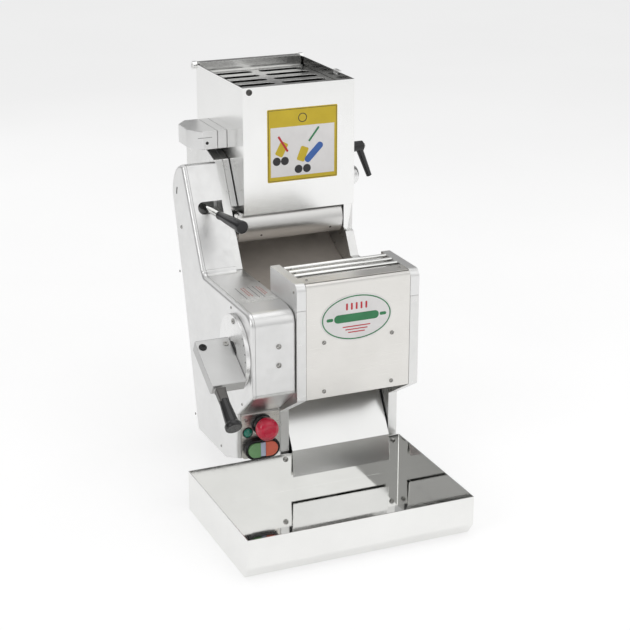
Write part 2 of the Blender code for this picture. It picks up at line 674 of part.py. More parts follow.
for made in parts.objects:
    if made.type == "MESH" and made.data.polygons:
        made.data.shade_smooth()
        made.data.set_sharp_from_angle(angle=math.radians(35))
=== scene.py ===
"""Looks of a bench-top dough sheeter with a bolt-on pasta cutter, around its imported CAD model."""
import math

import bmesh
import bpy
from mathutils import Matrix, Vector


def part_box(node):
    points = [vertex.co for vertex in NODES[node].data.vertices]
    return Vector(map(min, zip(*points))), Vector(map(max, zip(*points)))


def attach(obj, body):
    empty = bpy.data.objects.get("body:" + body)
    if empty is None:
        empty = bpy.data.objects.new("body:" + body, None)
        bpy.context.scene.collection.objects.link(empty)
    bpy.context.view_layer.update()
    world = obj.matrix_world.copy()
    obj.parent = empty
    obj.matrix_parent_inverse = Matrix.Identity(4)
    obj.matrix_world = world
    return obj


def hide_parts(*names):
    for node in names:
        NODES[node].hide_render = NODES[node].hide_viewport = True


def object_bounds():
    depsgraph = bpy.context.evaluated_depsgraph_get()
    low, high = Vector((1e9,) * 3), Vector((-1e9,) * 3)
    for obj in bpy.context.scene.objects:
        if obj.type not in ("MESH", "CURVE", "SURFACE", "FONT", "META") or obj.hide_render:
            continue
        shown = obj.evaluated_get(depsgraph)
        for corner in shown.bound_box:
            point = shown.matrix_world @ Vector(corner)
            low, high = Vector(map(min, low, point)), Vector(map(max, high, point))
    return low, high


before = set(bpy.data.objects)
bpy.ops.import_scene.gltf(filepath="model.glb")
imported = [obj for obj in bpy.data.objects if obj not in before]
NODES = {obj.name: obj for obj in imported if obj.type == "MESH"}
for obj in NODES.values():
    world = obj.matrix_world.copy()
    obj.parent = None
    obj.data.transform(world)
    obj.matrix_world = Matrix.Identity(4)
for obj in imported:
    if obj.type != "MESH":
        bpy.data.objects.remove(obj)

CAD_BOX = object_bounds()
MM = 0.001
FACE_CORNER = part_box("cutter_front_plate")[0]
ORIGIN = Vector((FACE_CORNER.x, FACE_CORNER.y, 0.0))


def at(x, y, z):
    """Layout millimetres to metres: x from the cutter plate's left end, y from its face, z from the bench."""
    return ORIGIN + Vector((x, y, z)) * MM


def layout_box(node):
    """A CAD node's lowest and highest corners in layout millimetres."""
    low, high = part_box(node)
    return (low - ORIGIN) / MM, (high - ORIGIN) / MM


# ---------------------------------------------------------------- material building
class Surface:
    """A procedural material on one Principled shader, in the object's own metres."""

    def __init__(self, name, **sockets):
        self.material = bpy.data.materials.new(name)
        self.material.use_nodes = True
        self.tree = self.material.node_tree
        self.shader = self.tree.nodes["Principled BSDF"]
        for socket, value in sockets.items():
            self.shader.inputs[socket.replace("_", " ")].default_value = value
        self.place = self.tree.nodes.new("ShaderNodeTexCoord").outputs["Object"]

    def link(self, output, node, socket):
        self.tree.links.new(output, node.inputs[socket])

    def noise(self, scale, detail=3.0, roughness=0.55, stretch=(1.0, 1.0, 1.0)):
        mapping = self.tree.nodes.new("ShaderNodeMapping")
        mapping.inputs["Scale"].default_value = stretch
        self.link(self.place, mapping, "Vector")
        node = self.tree.nodes.new("ShaderNodeTexNoise")
        node.inputs["Scale"].default_value = scale
        node.inputs["Detail"].default_value = detail
        node.inputs["Roughness"].default_value = roughness
        self.link(mapping.outputs["Vector"], node, "Vector")
        return node.outputs["Fac"]

    def remap(self, value, low, high, start=0.3, end=0.7):
        node = self.tree.nodes.new("ShaderNodeMapRange")
        node.inputs["From Min"].default_value = start
        node.inputs["From Max"].default_value = end
        node.inputs["To Min"].default_value = low
        node.inputs["To Max"].default_value = high
        self.link(value, node, "Value")
        return node.outputs["Result"]

    def colours(self, value, first, second, start=0.3, end=0.7):
        ramp = self.tree.nodes.new("ShaderNodeValToRGB")
        ramp.color_ramp.elements[0].position = start
        ramp.color_ramp.elements[0].color = (*first, 1.0)
        ramp.color_ramp.elements[1].position = end
        ramp.color_ramp.elements[1].color = (*second, 1.0)
        self.link(value, ramp, "Fac")
        self.link(ramp.outputs["Color"], self.shader, "Base Color")

    def roughness(self, value, low, high):
        self.link(self.remap(value, low, high), self.shader, "Roughness")

    def bump(self, value, strength, distance):
        node = self.tree.nodes.new("ShaderNodeBump")
        node.inputs["Strength"].default_value = strength
        node.inputs["Distance"].default_value = distance
        self.link(value, node, "Height")
        if self.shader.inputs["Normal"].is_linked:
            self.link(self.shader.inputs["Normal"].links[0].from_socket, node, "Normal")
        self.link(node.outputs["Normal"], self.shader, "Normal")


def sheet_steel(name, light, dark, smooth, rough, wave):
    """Bright sheet steel: slow waves in the sheet, faint wiping marks and clouds of duller metal."""
    surface = Surface(name, Metallic=1.0)
    clouds = surface.noise(9.0, 4.0)
    surface.colours(clouds, dark, light)
    surface.roughness(surface.noise(60.0, 5.0, stretch=(1.0, 1.0, 0.3)), smooth, rough)
    surface.bump(surface.noise(7.0, 1.0), 0.5, wave)
    surface.bump(surface.noise(1400.0, 2.0, stretch=(1.0, 1.0, 0.04)), 0.08, 0.00004)
    return surface.material


def hopper_sheet(name, light, dark, inside_shade):
    """The hopper's sheet: bright outside, and painted dark on its inner faces as shade inside the hopper."""
    material = sheet_steel(name, light, dark, 0.17, 0.21, 0.00015)
    tree = material.node_tree
    shader = tree.nodes["Principled BSDF"]
    outside = shader.inputs["Base Color"].links[0].from_socket
    low, high = HOPPER_WALLS
    split = tree.nodes.new("ShaderNodeSeparateXYZ")
    tree.links.new(tree.nodes["Texture Coordinate"].outputs["Object"], split.inputs["Vector"])
    limits = (("X", "GREATER_THAN", low.x), ("X", "LESS_THAN", high.x), ("Y", "GREATER_THAN", low.y),
              ("Y", "LESS_THAN", high.y), ("Z", "GREATER_THAN", low.z))
    tests = []
    for axis, operation, limit in limits:
        test = tree.nodes.new("ShaderNodeMath")
        test.operation = operation
        test.inputs[1].default_value = limit
        tree.links.new(split.outputs[axis], test.inputs[0])
        tests.append(test.outputs[0])
    inside_shade_mask = tests[0]
    for test in tests[1:]:
        both = tree.nodes.new("ShaderNodeMath")
        both.operation = "MULTIPLY"
        tree.links.new(inside_shade_mask, both.inputs[0])
        tree.links.new(test, both.inputs[1])
        inside_shade_mask = both.outputs[0]
    # Painted shade: faces inside the hopper's walls take a flat dark colour in place of the shade in its
    # interior.
    mix = tree.nodes.new("ShaderNodeMix")
    mix.data_type = "RGBA"
    tree.links.new(inside_shade_mask, mix.inputs["Factor"])
    tree.links.new(outside, mix.inputs["A"])
    mix.inputs["B"].default_value = (*inside_shade, 1.0)
    tree.links.new(mix.outputs["Result"], shader.inputs["Base Color"])
    return material


def grained_metal(name, light, dark, smooth, rough, stretch, grain=0.25):
    """Brushed, ground or turned metal whose fine lines run along the axis with the smallest stretch."""
    surface = Surface(name, Metallic=1.0)
    lines = surface.noise(1000.0, 4.0, 0.65, stretch)
    surface.colours(surface.noise(14.0, 5.0), dark, light)
    surface.roughness(lines, smooth, rough)
    surface.bump(lines, grain, 0.00005)
    return surface.material


def cast_metal(name, light, dark, rough_low, rough_high):
    """Tumbled aluminium casting: a fine pebbled skin over broad, soft unevenness."""
    surface = Surface(name, Metallic=1.0)
    surface.colours(surface.noise(11.0, 6.0), dark, light)
    surface.roughness(surface.noise(90.0, 6.0), rough_low, rough_high)
    surface.bump(surface.noise(12.0, 2.0), 0.4, 0.0006)
    surface.bump(surface.noise(900.0, 4.0, 0.7), 0.25, 0.00008)
    return surface.material


def moulded(name, light, dark, rough_low, rough_high, skin=0.2, **sockets):
    """Moulded plastic, rubber or paint with a fine skin and slightly rubbed patches."""
    surface = Surface(name, **sockets)
    surface.colours(surface.noise(45.0, 5.0), dark, light)
    surface.roughness(surface.noise(130.0, 4.0), rough_low, rough_high)
    surface.bump(surface.noise(1600.0, 3.0), skin, 0.00006)
    return surface.material


ALONG_X = (0.008, 2.2, 2.2)
ALONG_Z = (2.2, 2.2, 0.008)
ROUND_X = (60.0, 0.3, 0.3)
# Corners within the thickness of the hopper's walls: what lies between them is its inside, which gets a
# painted shade.
HOPPER_WALLS = (at(-2.8, 244.2, 442), at(186.8, 457.8, 620))

POLISHED = sheet_steel("polished_sheet_steel", (0.86, 0.86, 0.845), (0.81, 0.81, 0.795),
                       0.035, 0.075, 0.00022)
CHUTE = grained_metal("chute_sheet_steel", (0.80, 0.80, 0.79), (0.77, 0.77, 0.76), 0.20, 0.24, ALONG_X, 0.08)
GUARD = grained_metal("guard_sheet_steel", (0.72, 0.715, 0.70), (0.67, 0.665, 0.65),
                      0.28, 0.36, ALONG_X, 0.12)
GRILLE = sheet_steel("grille_sheet_steel", (0.84, 0.84, 0.825), (0.78, 0.78, 0.765), 0.17, 0.26, 0.0002)
# A darker copy of the machined aluminium for the thickness lever block: its lower colour is painted shade.
SHADED_LEVER_ALUMINIUM = grained_metal("shaded_lever_aluminium", (0.56, 0.56, 0.555), (0.50, 0.50, 0.495),
                           0.36, 0.48, ALONG_X, 0.3)
# The last colour is the painted shade on the hopper's inner faces.
HOPPER_STEEL = hopper_sheet("hopper_sheet_steel", (0.91, 0.91, 0.90), (0.87, 0.87, 0.86), (0.20, 0.20, 0.195))
BRUSHED = grained_metal("brushed_plate", (0.80, 0.785, 0.755), (0.75, 0.735, 0.705), 0.26, 0.40, ALONG_X)
PANEL = grained_metal("panel_plate", (0.70, 0.68, 0.64), (0.62, 0.60, 0.565), 0.24, 0.36, ALONG_X)
CAST = cast_metal("satin_casting", (0.80, 0.80, 0.795), (0.735, 0.735, 0.73), 0.30, 0.42)
PLATE = cast_metal("sanded_side_plate", (0.78, 0.78, 0.77), (0.72, 0.72, 0.71), 0.26, 0.38)
MACHINED = grained_metal("machined_aluminium", (0.82, 0.82, 0.815), (0.76, 0.76, 0.755),
                         0.30, 0.42, ALONG_X, 0.35)
DIAL_FACE = grained_metal("dial_aluminium", (0.84, 0.84, 0.835), (0.77, 0.77, 0.765),
                          0.24, 0.36, ALONG_Z, 0.3)
TURNED = grained_metal("turned_steel", (0.70, 0.695, 0.68), (0.62, 0.615, 0.60), 0.16, 0.28, ROUND_X, 0.3)
SCREW_STEEL = grained_metal("screw_steel", (0.46, 0.455, 0.44), (0.34, 0.335, 0.32), 0.14, 0.26, ALONG_X, 0.2)
SLIDE = moulded("coated_slide", (0.50, 0.455, 0.41), (0.44, 0.40, 0.36), 0.30, 0.42, 0.1, Metallic=0.35)
PAINT = moulded("motor_paint", (0.13, 0.14, 0.15), (0.09, 0.10, 0.11), 0.40, 0.55, 0.3)
RUBBER = moulded("black_rubber", (0.030, 0.030, 0.030), (0.018, 0.018, 0.018), 0.62, 0.80, 0.4)
BLACK = moulded("black_plastic", (0.016, 0.016, 0.017), (0.009, 0.009, 0.010), 0.16, 0.26, 0.03)
BLACK_SCREW = grained_metal("blackened_screw", (0.045, 0.045, 0.045), (0.025, 0.025, 0.025),
                            0.28, 0.40, ALONG_X, 0.2)
NECK = grained_metal("blackened_neck", (0.14, 0.135, 0.13), (0.08, 0.078, 0.075), 0.26, 0.40, ALONG_X, 0.2)
CRIMSON = moulded("crimson_plastic", (0.66, 0.008, 0.050), (0.52, 0.004, 0.036),
                  0.16, 0.28, 0.08, Coat_Weight=0.4)
GREEN = moulded("green_plastic", (0.22, 0.43, 0.20), (0.17, 0.37, 0.155), 0.30, 0.45, 0.1)
ORANGE = moulded("orange_red_plastic", (0.82, 0.19, 0.12), (0.74, 0.15, 0.09), 0.30, 0.45, 0.1)
PALE_LENS = moulded("pale_lens", (0.62, 0.68, 0.82), (0.52, 0.58, 0.74), 0.18, 0.30, 0.06, Coat_Weight=0.5)
GREEN_LENS = moulded("green_lens", (0.004, 0.26, 0.17), (0.002, 0.16, 0.11),
                     0.08, 0.18, 0.05, Coat_Weight=1.0)
YELLOW_PRINT = moulded("yellow_print", (0.62, 0.46, 0.018), (0.56, 0.41, 0.012), 0.32, 0.44, 0.05)
WHITE_PRINT = moulded("white_print", (0.80, 0.785, 0.78), (0.74, 0.725, 0.72), 0.30, 0.42, 0.05)
BLACK_PRINT = moulded("black_print", (0.024, 0.022, 0.026), (0.016, 0.015, 0.018), 0.34, 0.46, 0.05)
RED_PRINT = moulded("red_print", (0.56, 0.020, 0.035), (0.48, 0.014, 0.026), 0.34, 0.46, 0.05)
FADED_RED = moulded("faded_red_print", (0.52, 0.27, 0.25), (0.46, 0.23, 0.215), 0.40, 0.55, 0.05)
GREY_PRINT = moulded("grey_print", (0.23, 0.23, 0.23), (0.18, 0.18, 0.18), 0.40, 0.55, 0.05)
GREEN_PRINT = moulded("green_print", (0.030, 0.22, 0.085), (0.022, 0.18, 0.066), 0.34, 0.46, 0.05)
BLUE_PRINT = moulded("blue_print", (0.040, 0.13, 0.42), (0.030, 0.10, 0.35), 0.34, 0.46, 0.05)
FILM = moulded("clear_film", (0.62, 0.62, 0.60), (0.57, 0.57, 0.555), 0.22, 0.34, 0.05)
# Flat dark discs and bands: in the holes and the cover slot this is painted shade, in the bracket seam a dark
# joint.
HOLE_SHADE_AND_SEAM = moulded("painted_hole_shade_and_seam", (0.020, 0.020, 0.020), (0.012, 0.012, 0.012), 0.55, 0.75, 0.2)


# ---------------------------------------------------------------- shading and soft edges
def smooth_by_angle(degrees):
    """A geometry-node group that shades smooth except across edges sharper than its limit."""
    group = bpy.data.node_groups.new(f"smooth_by_{degrees}", "GeometryNodeTree")
    group.interface.new_socket("Geometry", in_out="INPUT", socket_type="NodeSocketGeometry")
    group.interface.new_socket("Geometry", in_out="OUTPUT", socket_type="NodeSocketGeometry")
    nodes = group.nodes
    links = group.links
    entry = nodes.new("NodeGroupInput")
    leave = nodes.new("NodeGroupOutput")
    faces = nodes.new("GeometryNodeSetShadeSmooth")
    faces.domain = "FACE"
    edges = nodes.new("GeometryNodeSetShadeSmooth")
    edges.domain = "EDGE"
    edges.inputs["Shade Smooth"].default_value = False
    angle = nodes.new("GeometryNodeInputMeshEdgeAngle")
    sharper = nodes.new("FunctionNodeCompare")
    sharper.operation = "GREATER_THAN"
    sharper.inputs["B"].default_value = math.radians(degrees)
    links.new(entry.outputs["Geometry"], faces.inputs["Geometry"])
    links.new(angle.outputs["Unsigned Angle"], sharper.inputs["A"])
    links.new(sharper.outputs["Result"], edges.inputs["Selection"])
    links.new(faces.outputs["Geometry"], edges.inputs["Geometry"])
    links.new(edges.outputs["Geometry"], leave.inputs["Geometry"])
    return group


SHARP_ANGLE = 32
FOLD_ANGLE = 12
SMOOTH = {degrees: smooth_by_angle(degrees) for degrees in (SHARP_ANGLE, FOLD_ANGLE)}
FOLDED_SHEETS = ("discharge_chute", "tray")


def soften(made, width, segments=2, angle=SHARP_ANGLE):
    """Welds split corners, rounds the sharp edges and shades the curves smooth."""
    weld = made.modifiers.new("Weld", "WELD")
    weld.merge_threshold = 1e-6
    if width:
        bevel = made.modifiers.new("Bevel", "BEVEL")
        bevel.width = width * MM
        bevel.segments = segments
        bevel.limit_method = "ANGLE"
        bevel.angle_limit = math.radians(angle)
    shading = made.modifiers.new("Smooth", "NODES")
    shading.node_group = SMOOTH[angle]
    normals = made.modifiers.new("Normals", "WEIGHTED_NORMAL")
    normals.weight = 90
    normals.keep_sharp = True


# ---------------------------------------------------------------- mesh building
def piece(name, bm, material, body, edge=0.0, segments=2):
    """Makes one visible piece from a bmesh and fixes it to a CAD body."""
    bmesh.ops.recalc_face_normals(bm, faces=bm.faces)
    mesh = bpy.data.meshes.new(name)
    bm.to_mesh(mesh)
    bm.free()
    mesh.materials.append(material)
    made = bpy.data.objects.new(name, mesh)
    bpy.context.scene.collection.objects.link(made)
    soften(made, edge, segments)
    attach(made, body)
    return made


def stand(centre, direction):
    """A matrix at a layout point whose Z axis runs along a direction."""
    turn = Vector(direction).to_track_quat("Z", "Y").to_matrix().to_4x4()
    return Matrix.Translation(at(*centre)) @ turn


def lathe(bm, profile, centre, direction, steps=32):
    """A solid of rings (radius, height[, sides]) along a direction; a ring with sides is a polygon."""
    place = stand(centre, direction)
    rings = []
    for ring in profile:
        radius, height = ring[0], ring[1]
        sides = ring[2] if len(ring) > 2 else 0
        points = []
        for i in range(steps):
            angle = 2 * math.pi * i / steps
            reach = radius
            if sides:
                wedge = math.pi / sides
                reach = radius * math.cos(wedge) / math.cos((angle % (2 * wedge)) - wedge)
            spot = Vector((reach * math.cos(angle), reach * math.sin(angle), height)) * MM
            points.append(bm.verts.new(place @ spot))
        rings.append(points)
    for lower, upper in zip(rings, rings[1:]):
        for i in range(steps):
            j = (i + 1) % steps
            bm.faces.new((lower[i], lower[j], upper[j], upper[i]))
    bm.faces.new(rings[0])
    bm.faces.new(rings[-1])


def prism(bm, outline, low, high, axis):
    """An outline extruded between two layout values of an axis."""
    rows = []
    for level in (low, high):
        row = []
        for a, b in outline:
            spot = {"X": (level, a, b), "Y": (a, level, b), "Z": (a, b, level)}[axis]
            row.append(bm.verts.new(at(*spot)))
        rows.append(row)
    bm.faces.new(rows[0])
    bm.faces.new(rows[1][::-1])
    count = len(outline)
    for i in range(count):
        j = (i + 1) % count
        bm.faces.new((rows[0][i], rows[0][j], rows[1][j], rows[1][i]))


def ellipse(centre, width, height, count=64):
    angles = [2 * math.pi * i / count for i in range(count)]
    return [(centre[0] + width / 2 * math.cos(a), centre[1] + height / 2 * math.sin(a)) for a in angles]


def rectangle(centre, width, height, corner=0.0, turn=0.0):
    """A rectangle with round corners, turned by degrees about its centre."""
    points = []
    for sx, sy, first in ((1, 1, 0), (-1, 1, 90), (-1, -1, 180), (1, -1, 270)):
        middle = (sx * (width / 2 - corner), sy * (height / 2 - corner))
        for step in range(5 if corner else 1):
            angle = math.radians(first + 22.5 * step)
            points.append((middle[0] + corner * math.cos(angle), middle[1] + corner * math.sin(angle)))
    spin = math.radians(turn)
    cos, sin = math.cos(spin), math.sin(spin)
    return [(centre[0] + a * cos - b * sin, centre[1] + a * sin + b * cos) for a, b in points]


def frame_band(bm, outer, inner, low, high, axis):
    """A closed band between two outlines of equal length, extruded along an axis."""
    levels = []
    for level in (low, high):
        pair = []
        for outline in (outer, inner):
            row = []
            for a, b in outline:
                spot = {"X": (level, a, b), "Y": (a, level, b), "Z": (a, b, level)}[axis]
                row.append(bm.verts.new(at(*spot)))
            pair.append(row)
        levels.append(pair)
    count = len(outer)
    for i in range(count):
        j = (i + 1) % count
        for pair, flip in ((levels[0], False), (levels[1], True)):
            corners = (pair[0][i], pair[0][j], pair[1][j], pair[1][i])
            bm.faces.new(corners[::-1] if flip else corners)
        for side in (0, 1):
            low_row, high_row = levels[0][side], levels[1][side]
            bm.faces.new((low_row[i], low_row[j], high_row[j], high_row[i]))


def socket_screw(name, centre, direction, radius, height, body, material=SCREW_STEEL):
    """A round-headed screw with a hexagon socket sunk in its top."""
    bm = bmesh.new()
    profile = [(radius, -0.2), (radius, height * 0.35), (radius * 0.9, height * 0.72)]
    profile += [(radius * 0.62, height), (radius * 0.50, height, 6), (radius * 0.46, height * 0.35, 6)]
    profile += [(0.05, height * 0.28)]
    lathe(bm, profile, centre, direction, 36)
    return piece(name, bm, material, body)


def flat_screw(name, centre, direction, radius, height, body, material=SCREW_STEEL):
    """A low flat-headed screw with a hexagon socket and a rounded rim."""
    bm = bmesh.new()
    profile = [(radius, -0.2), (radius, height - 0.3), (radius - 0.3, height)]
    profile += [(radius * 0.52, height, 6), (radius * 0.48, height * 0.2, 6), (0.05, height * 0.15)]
    lathe(bm, profile, centre, direction, 36)
    return piece(name, bm, material, body)


# ---------------------------------------------------------------- CAD nodes: materials and edges
FINISHES = (
    (CHUTE, ("discharge_chute",)),
    (GUARD, ("roller_guard",)),
    (POLISHED, ("tray", "guard_rod_front", "guard_rod_middle",
                "guard_rod_rear", "clutch_lever")),
    (GRILLE, ("hopper_lid", "lid_hinge")),
    (HOPPER_STEEL, ("hopper_shell",)),
    (BRUSHED, ("cutter_front_plate", "cutter_top_strip", "rear_panel")),
    (PANEL, ("control_panel",)),
    (CAST, ("base_plate",)),
    (PLATE, ("left_frame_plate", "right_frame_plate", "left_upper_plate", "hopper_side_plate")),
    (MACHINED, ("bracket_block", "hopper_bracket", "rear_bearing_left", "rear_bearing_right", "bearing_cap",
                "cutter_cheek_left", "cutter_cheek_right")),
    (SHADED_LEVER_ALUMINIUM, ("thickness_lever_block",)),
    (DIAL_FACE, ("dial_plate",)),
    (TURNED, ("sheeting_roller_front", "sheeting_roller_rear", "roller_gear_front", "roller_gear_rear",
              "roller_pulley", "motor_pulley", "cutter_drive_shaft", "cutter_drive_gear",
              "cutting_roller_front", "cutting_roller_rear", "lever_shaft", "lid_hinge_pin")),
    (SLIDE, ("dough_slide",)),
    (PAINT, ("motor",)),
    (RUBBER, ("foot_front_left", "foot_front_right", "foot_rear_left", "foot_rear_right", "drive_belt",
              "cutter_belt")),
    (BLACK, ("cable_gland", "estop_base", "button_housing", "clamp_lever")),
    (GREEN, ("start_button",)),
    (ORANGE, ("stop_button",)),
    (GREEN_LENS, ("pilot_light",)),
)
FINE_EDGE = 0.3
EDGE_RADII = {
    "thickness_lever_block": 2.0, "dial_plate": 1.4, "left_frame_plate": 1.2, "right_frame_plate": 1.2,
    "left_upper_plate": 1.2, "hopper_side_plate": 1.0, "cutter_cheek_left": 1.2, "cutter_cheek_right": 1.2,
    "bracket_block": 0.9, "hopper_bracket": 0.9, "button_housing": 1.6, "start_button": 1.0,
    "stop_button": 1.0, "estop_base": 0.8, "control_panel": 0.4, "tray": 0.45, "hopper_shell": 0.5,
    "discharge_chute": 0.3, "roller_guard": 0.5, "dough_slide": 0.4, "cutter_front_plate": 0.5,
    "cutter_top_strip": 0.5, "clamp_lever": 0.8, "base_plate": 1.0, "motor": 1.5,
}


def dress_nodes():
    for material, names in FINISHES:
        for name in names:
            for slot in NODES[name].material_slots:
                slot.material = material
            angle = FOLD_ANGLE if name in FOLDED_SHEETS else SHARP_ANGLE
            soften(NODES[name], EDGE_RADII.get(name, FINE_EDGE), 3, angle)


def rounded_copy(node, name, material, radius, chosen, body):
    """A visible copy of a CAD node whose chosen sharp edges get a large soft radius."""
    bm = bmesh.new()
    bm.from_mesh(NODES[node].data)
    bmesh.ops.remove_doubles(bm, verts=bm.verts, dist=1e-6)
    bmesh.ops.dissolve_limit(bm, angle_limit=math.radians(0.5), verts=bm.verts, edges=bm.edges)
    sharp = [edge for edge in bm.edges if edge.calc_face_angle(0.0) > math.radians(SHARP_ANGLE)]
    wanted = [edge for edge in sharp if all(chosen((v.co - ORIGIN) / MM) for v in edge.verts)]
    bmesh.ops.bevel(bm, geom=wanted, offset=radius * MM, offset_type="OFFSET", segments=6, profile=0.5,
                    affect="EDGES", clamp_overlap=False)
    made = piece(name, bm, material, body, FINE_EDGE)
    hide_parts(node)
    return made


DIAL_HUB_REACH = 20
NOSE_REAR = 66
NOSE_LOW = 190


def dial_distance(spot):
    low, high = layout_box("dial_plate")
    return math.hypot(spot.y - (low.y + high.y) / 2, spot.z - (low.z + high.z) / 2)


def casting():
    """The cover rounds into its side, and the housing's nose is softly rounded on its right rim."""
    side = layout_box("gearbox_cover")[0].x + 0.1
    rounded_copy("gearbox_cover", "cast_cover", CAST, 6.0,
                 lambda spot: spot.x < side and dial_distance(spot) > DIAL_HUB_REACH,
                 "frame")
    rim = layout_box("gearbox_housing")[1].x - 0.1
    rounded_copy("gearbox_housing", "cast_housing", CAST, 4.0,
                 lambda spot: spot.x > rim and spot.y < NOSE_REAR and spot.z > NOSE_LOW,
                 "frame")


# ---------------------------------------------------------------- cutter unit details
BADGE_PRINT = (-0.72, -0.5)


def cutter_details():
    body = "cutter_unit"
    for i, (x, z) in enumerate(((29, 268), (142, 268), (29, 189), (142, 189))):
        socket_screw(f"face_screw_{i}", (x, 0, z), (0, -1, 0), 3.3, 2.0, body)
    for i, x in enumerate((9, 163)):
        socket_screw(f"strip_screw_{i}", (x, 21, 363), (0, 0, 1), 2.4, 1.2, body)
    socket_screw("cheek_screw", (-15.3, 12, 350), (-1, 0, 0), 2.2, 1.0, body)
    middle = (82, 302)
    bm = bmesh.new()
    prism(bm, ellipse(middle, 118, 74), -0.55, 0.02, "Y")
    piece("badge_plate", bm, WHITE_PRINT, body, 0.2)
    bm = bmesh.new()
    frame_band(bm, ellipse(middle, 114, 70), ellipse(middle, 110.4, 66.4), *BADGE_PRINT, "Y")
    piece("badge_rim", bm, GREEN_PRINT, body)
    bm = bmesh.new()
    prism(bm, rectangle(middle, 74, 13, 6.4), *BADGE_PRINT, "Y")
    for reach in (-44, 44):
        prism(bm, rectangle((middle[0] + reach, middle[1]), 11, 5, 2.4), *BADGE_PRINT, "Y")
    piece("badge_rolling_pin", bm, GREEN_PRINT, body)
    bm = bmesh.new()
    for row in range(3):
        width = 46 - 9 * row
        prism(bm, rectangle((middle[0], middle[1] - 14 - 4.6 * row), width, 1.6, 0.7), *BADGE_PRINT, "Y")
    for column in range(5):
        prism(bm, rectangle((middle[0] - 16 + 8 * column, middle[1] + 18), 3.0, 11, 1.4), *BADGE_PRINT, "Y")
    piece("badge_strands", bm, RED_PRINT, body)


# ---------------------------------------------------------------- hopper details
LABEL = (36.7, 157.8, 454.6, 573.0)


def label_area(x0, x1, z0, z1):
    """A part of the hopper label from fractions of its width and height."""
    left, right, low, high = LABEL
    width, height = right - left, high - low
    centre = (left + width * (x0 + x1) / 2, low + height * (z0 + z1) / 2)
    return centre, width * (x1 - x0), height * (z1 - z0)


def label_spot(u, v):
    """A point of the hopper label from fractions of its width and height."""
    return label_area(u, u, v, v)[0]


def hopper_details():
    body = "hopper"
    front = layout_box("hopper_shell")[0].y
    centre, width, height = label_area(0, 1, 0, 1)

    def printed(name, shapes, material, layer):
        bm = bmesh.new()
        for shape in shapes:
            prism(bm, shape, front - 0.3 - 0.12 * layer, front - 0.12 * layer, "Y")
        return piece(name, bm, material, body)

    printed("label_plate", [rectangle(centre, width, height, 2.0)], YELLOW_PRINT, 0)
    inner, inner_width, inner_height = label_area(0.045, 0.955, 0.07, 0.75)
    printed("label_panel", [rectangle(inner, inner_width, inner_height)], WHITE_PRINT, 1)
    bm = bmesh.new()
    low_y, high_y = front - 0.42, front - 0.24
    outer = rectangle(centre, width - 3.0, height - 3.0)
    frame_band(bm, outer, rectangle(centre, width - 4.4, height - 4.4), low_y, high_y, "Y")
    mark = label_spot(0.5, 0.86)
    frame_band(bm, ellipse(mark, 15.0, 15.0, 40), ellipse(mark, 12.4, 12.4, 40), low_y, high_y, "Y")
    piece("label_lines", bm, BLACK_PRINT, body)
    places = ((0.13, 0.285), (0.245, 0.285), (0.44, 0.155), (0.56, 0.155))
    discs = [ellipse(label_spot(u, v), 13.6, 13.6, 28) for u, v in places]
    printed("label_discs", discs, BLACK_PRINT, 2)
    places = ((0.20, 0.45, 62), (0.50, 0.36, 68))
    strips = [rectangle(label_spot(u, v), 24, 14, 2.5, turn) for u, v, turn in places]
    printed("label_dough", strips, YELLOW_PRINT, 2)
    bar = rectangle(label_spot(0.66, 0.37), 40, 11, 5.0, 45)
    printed("label_blue_bar", [bar], BLUE_PRINT, 3)
    bar = rectangle(label_spot(0.22, 0.52), 30, 3.4, 0.8, -58)
    printed("label_red_bar", [bar], RED_PRINT, 4)
    bar = rectangle(label_spot(0.66, 0.62), 28, 3.0, 0.8, 52)
    printed("label_green_bar", [bar], GREEN_PRINT, 4)
    socket_screw("hopper_screw", (6.9, front, 603.5), (0, -1, 0), 5.0, 2.6, body, NECK)
    bm = bmesh.new()
    prism(bm, rectangle((187.4, 610.0), 7.0, 7.6, 1.2), front + 58, front + 76, "Y")
    piece("rim_catch", bm, MACHINED, body, 0.5)
    socket_screw("clamp_screw", (213, 262, 495), (1, 0, 0), 4.6, 2.4, "clamp")
    bm = bmesh.new()
    lathe(bm, [(9.6, -0.1), (9.6, 1.2), (8.9, 2.2), (7.6, 2.4)], (188.4, 262, 495), (1, 0, 0), 40)
    piece("clamp_washer", bm, SCREW_STEEL, body)


def bracket_details():
    """The seam and the pivot hole in the front of the block that carries the hopper; the hole is a dark disc
    of painted shade.
    """
    low, high = layout_box("bracket_block")
    bm = bmesh.new()
    lathe(bm, [(2.6, -0.3), (2.6, 0.15), (2.1, 0.2)], (-38, low.y, 511), (0, -1, 0), 28)
    piece("bracket_pin_hole_shade", bm, HOLE_SHADE_AND_SEAM, "frame")
    bm = bmesh.new()
    seam = rectangle(((low.x + high.x) / 2, 520.0), high.x - low.x - 19, 0.6)
    prism(bm, seam, low.y - 0.05, low.y + 0.3, "Y")
    piece("bracket_seam", bm, HOLE_SHADE_AND_SEAM, "frame")


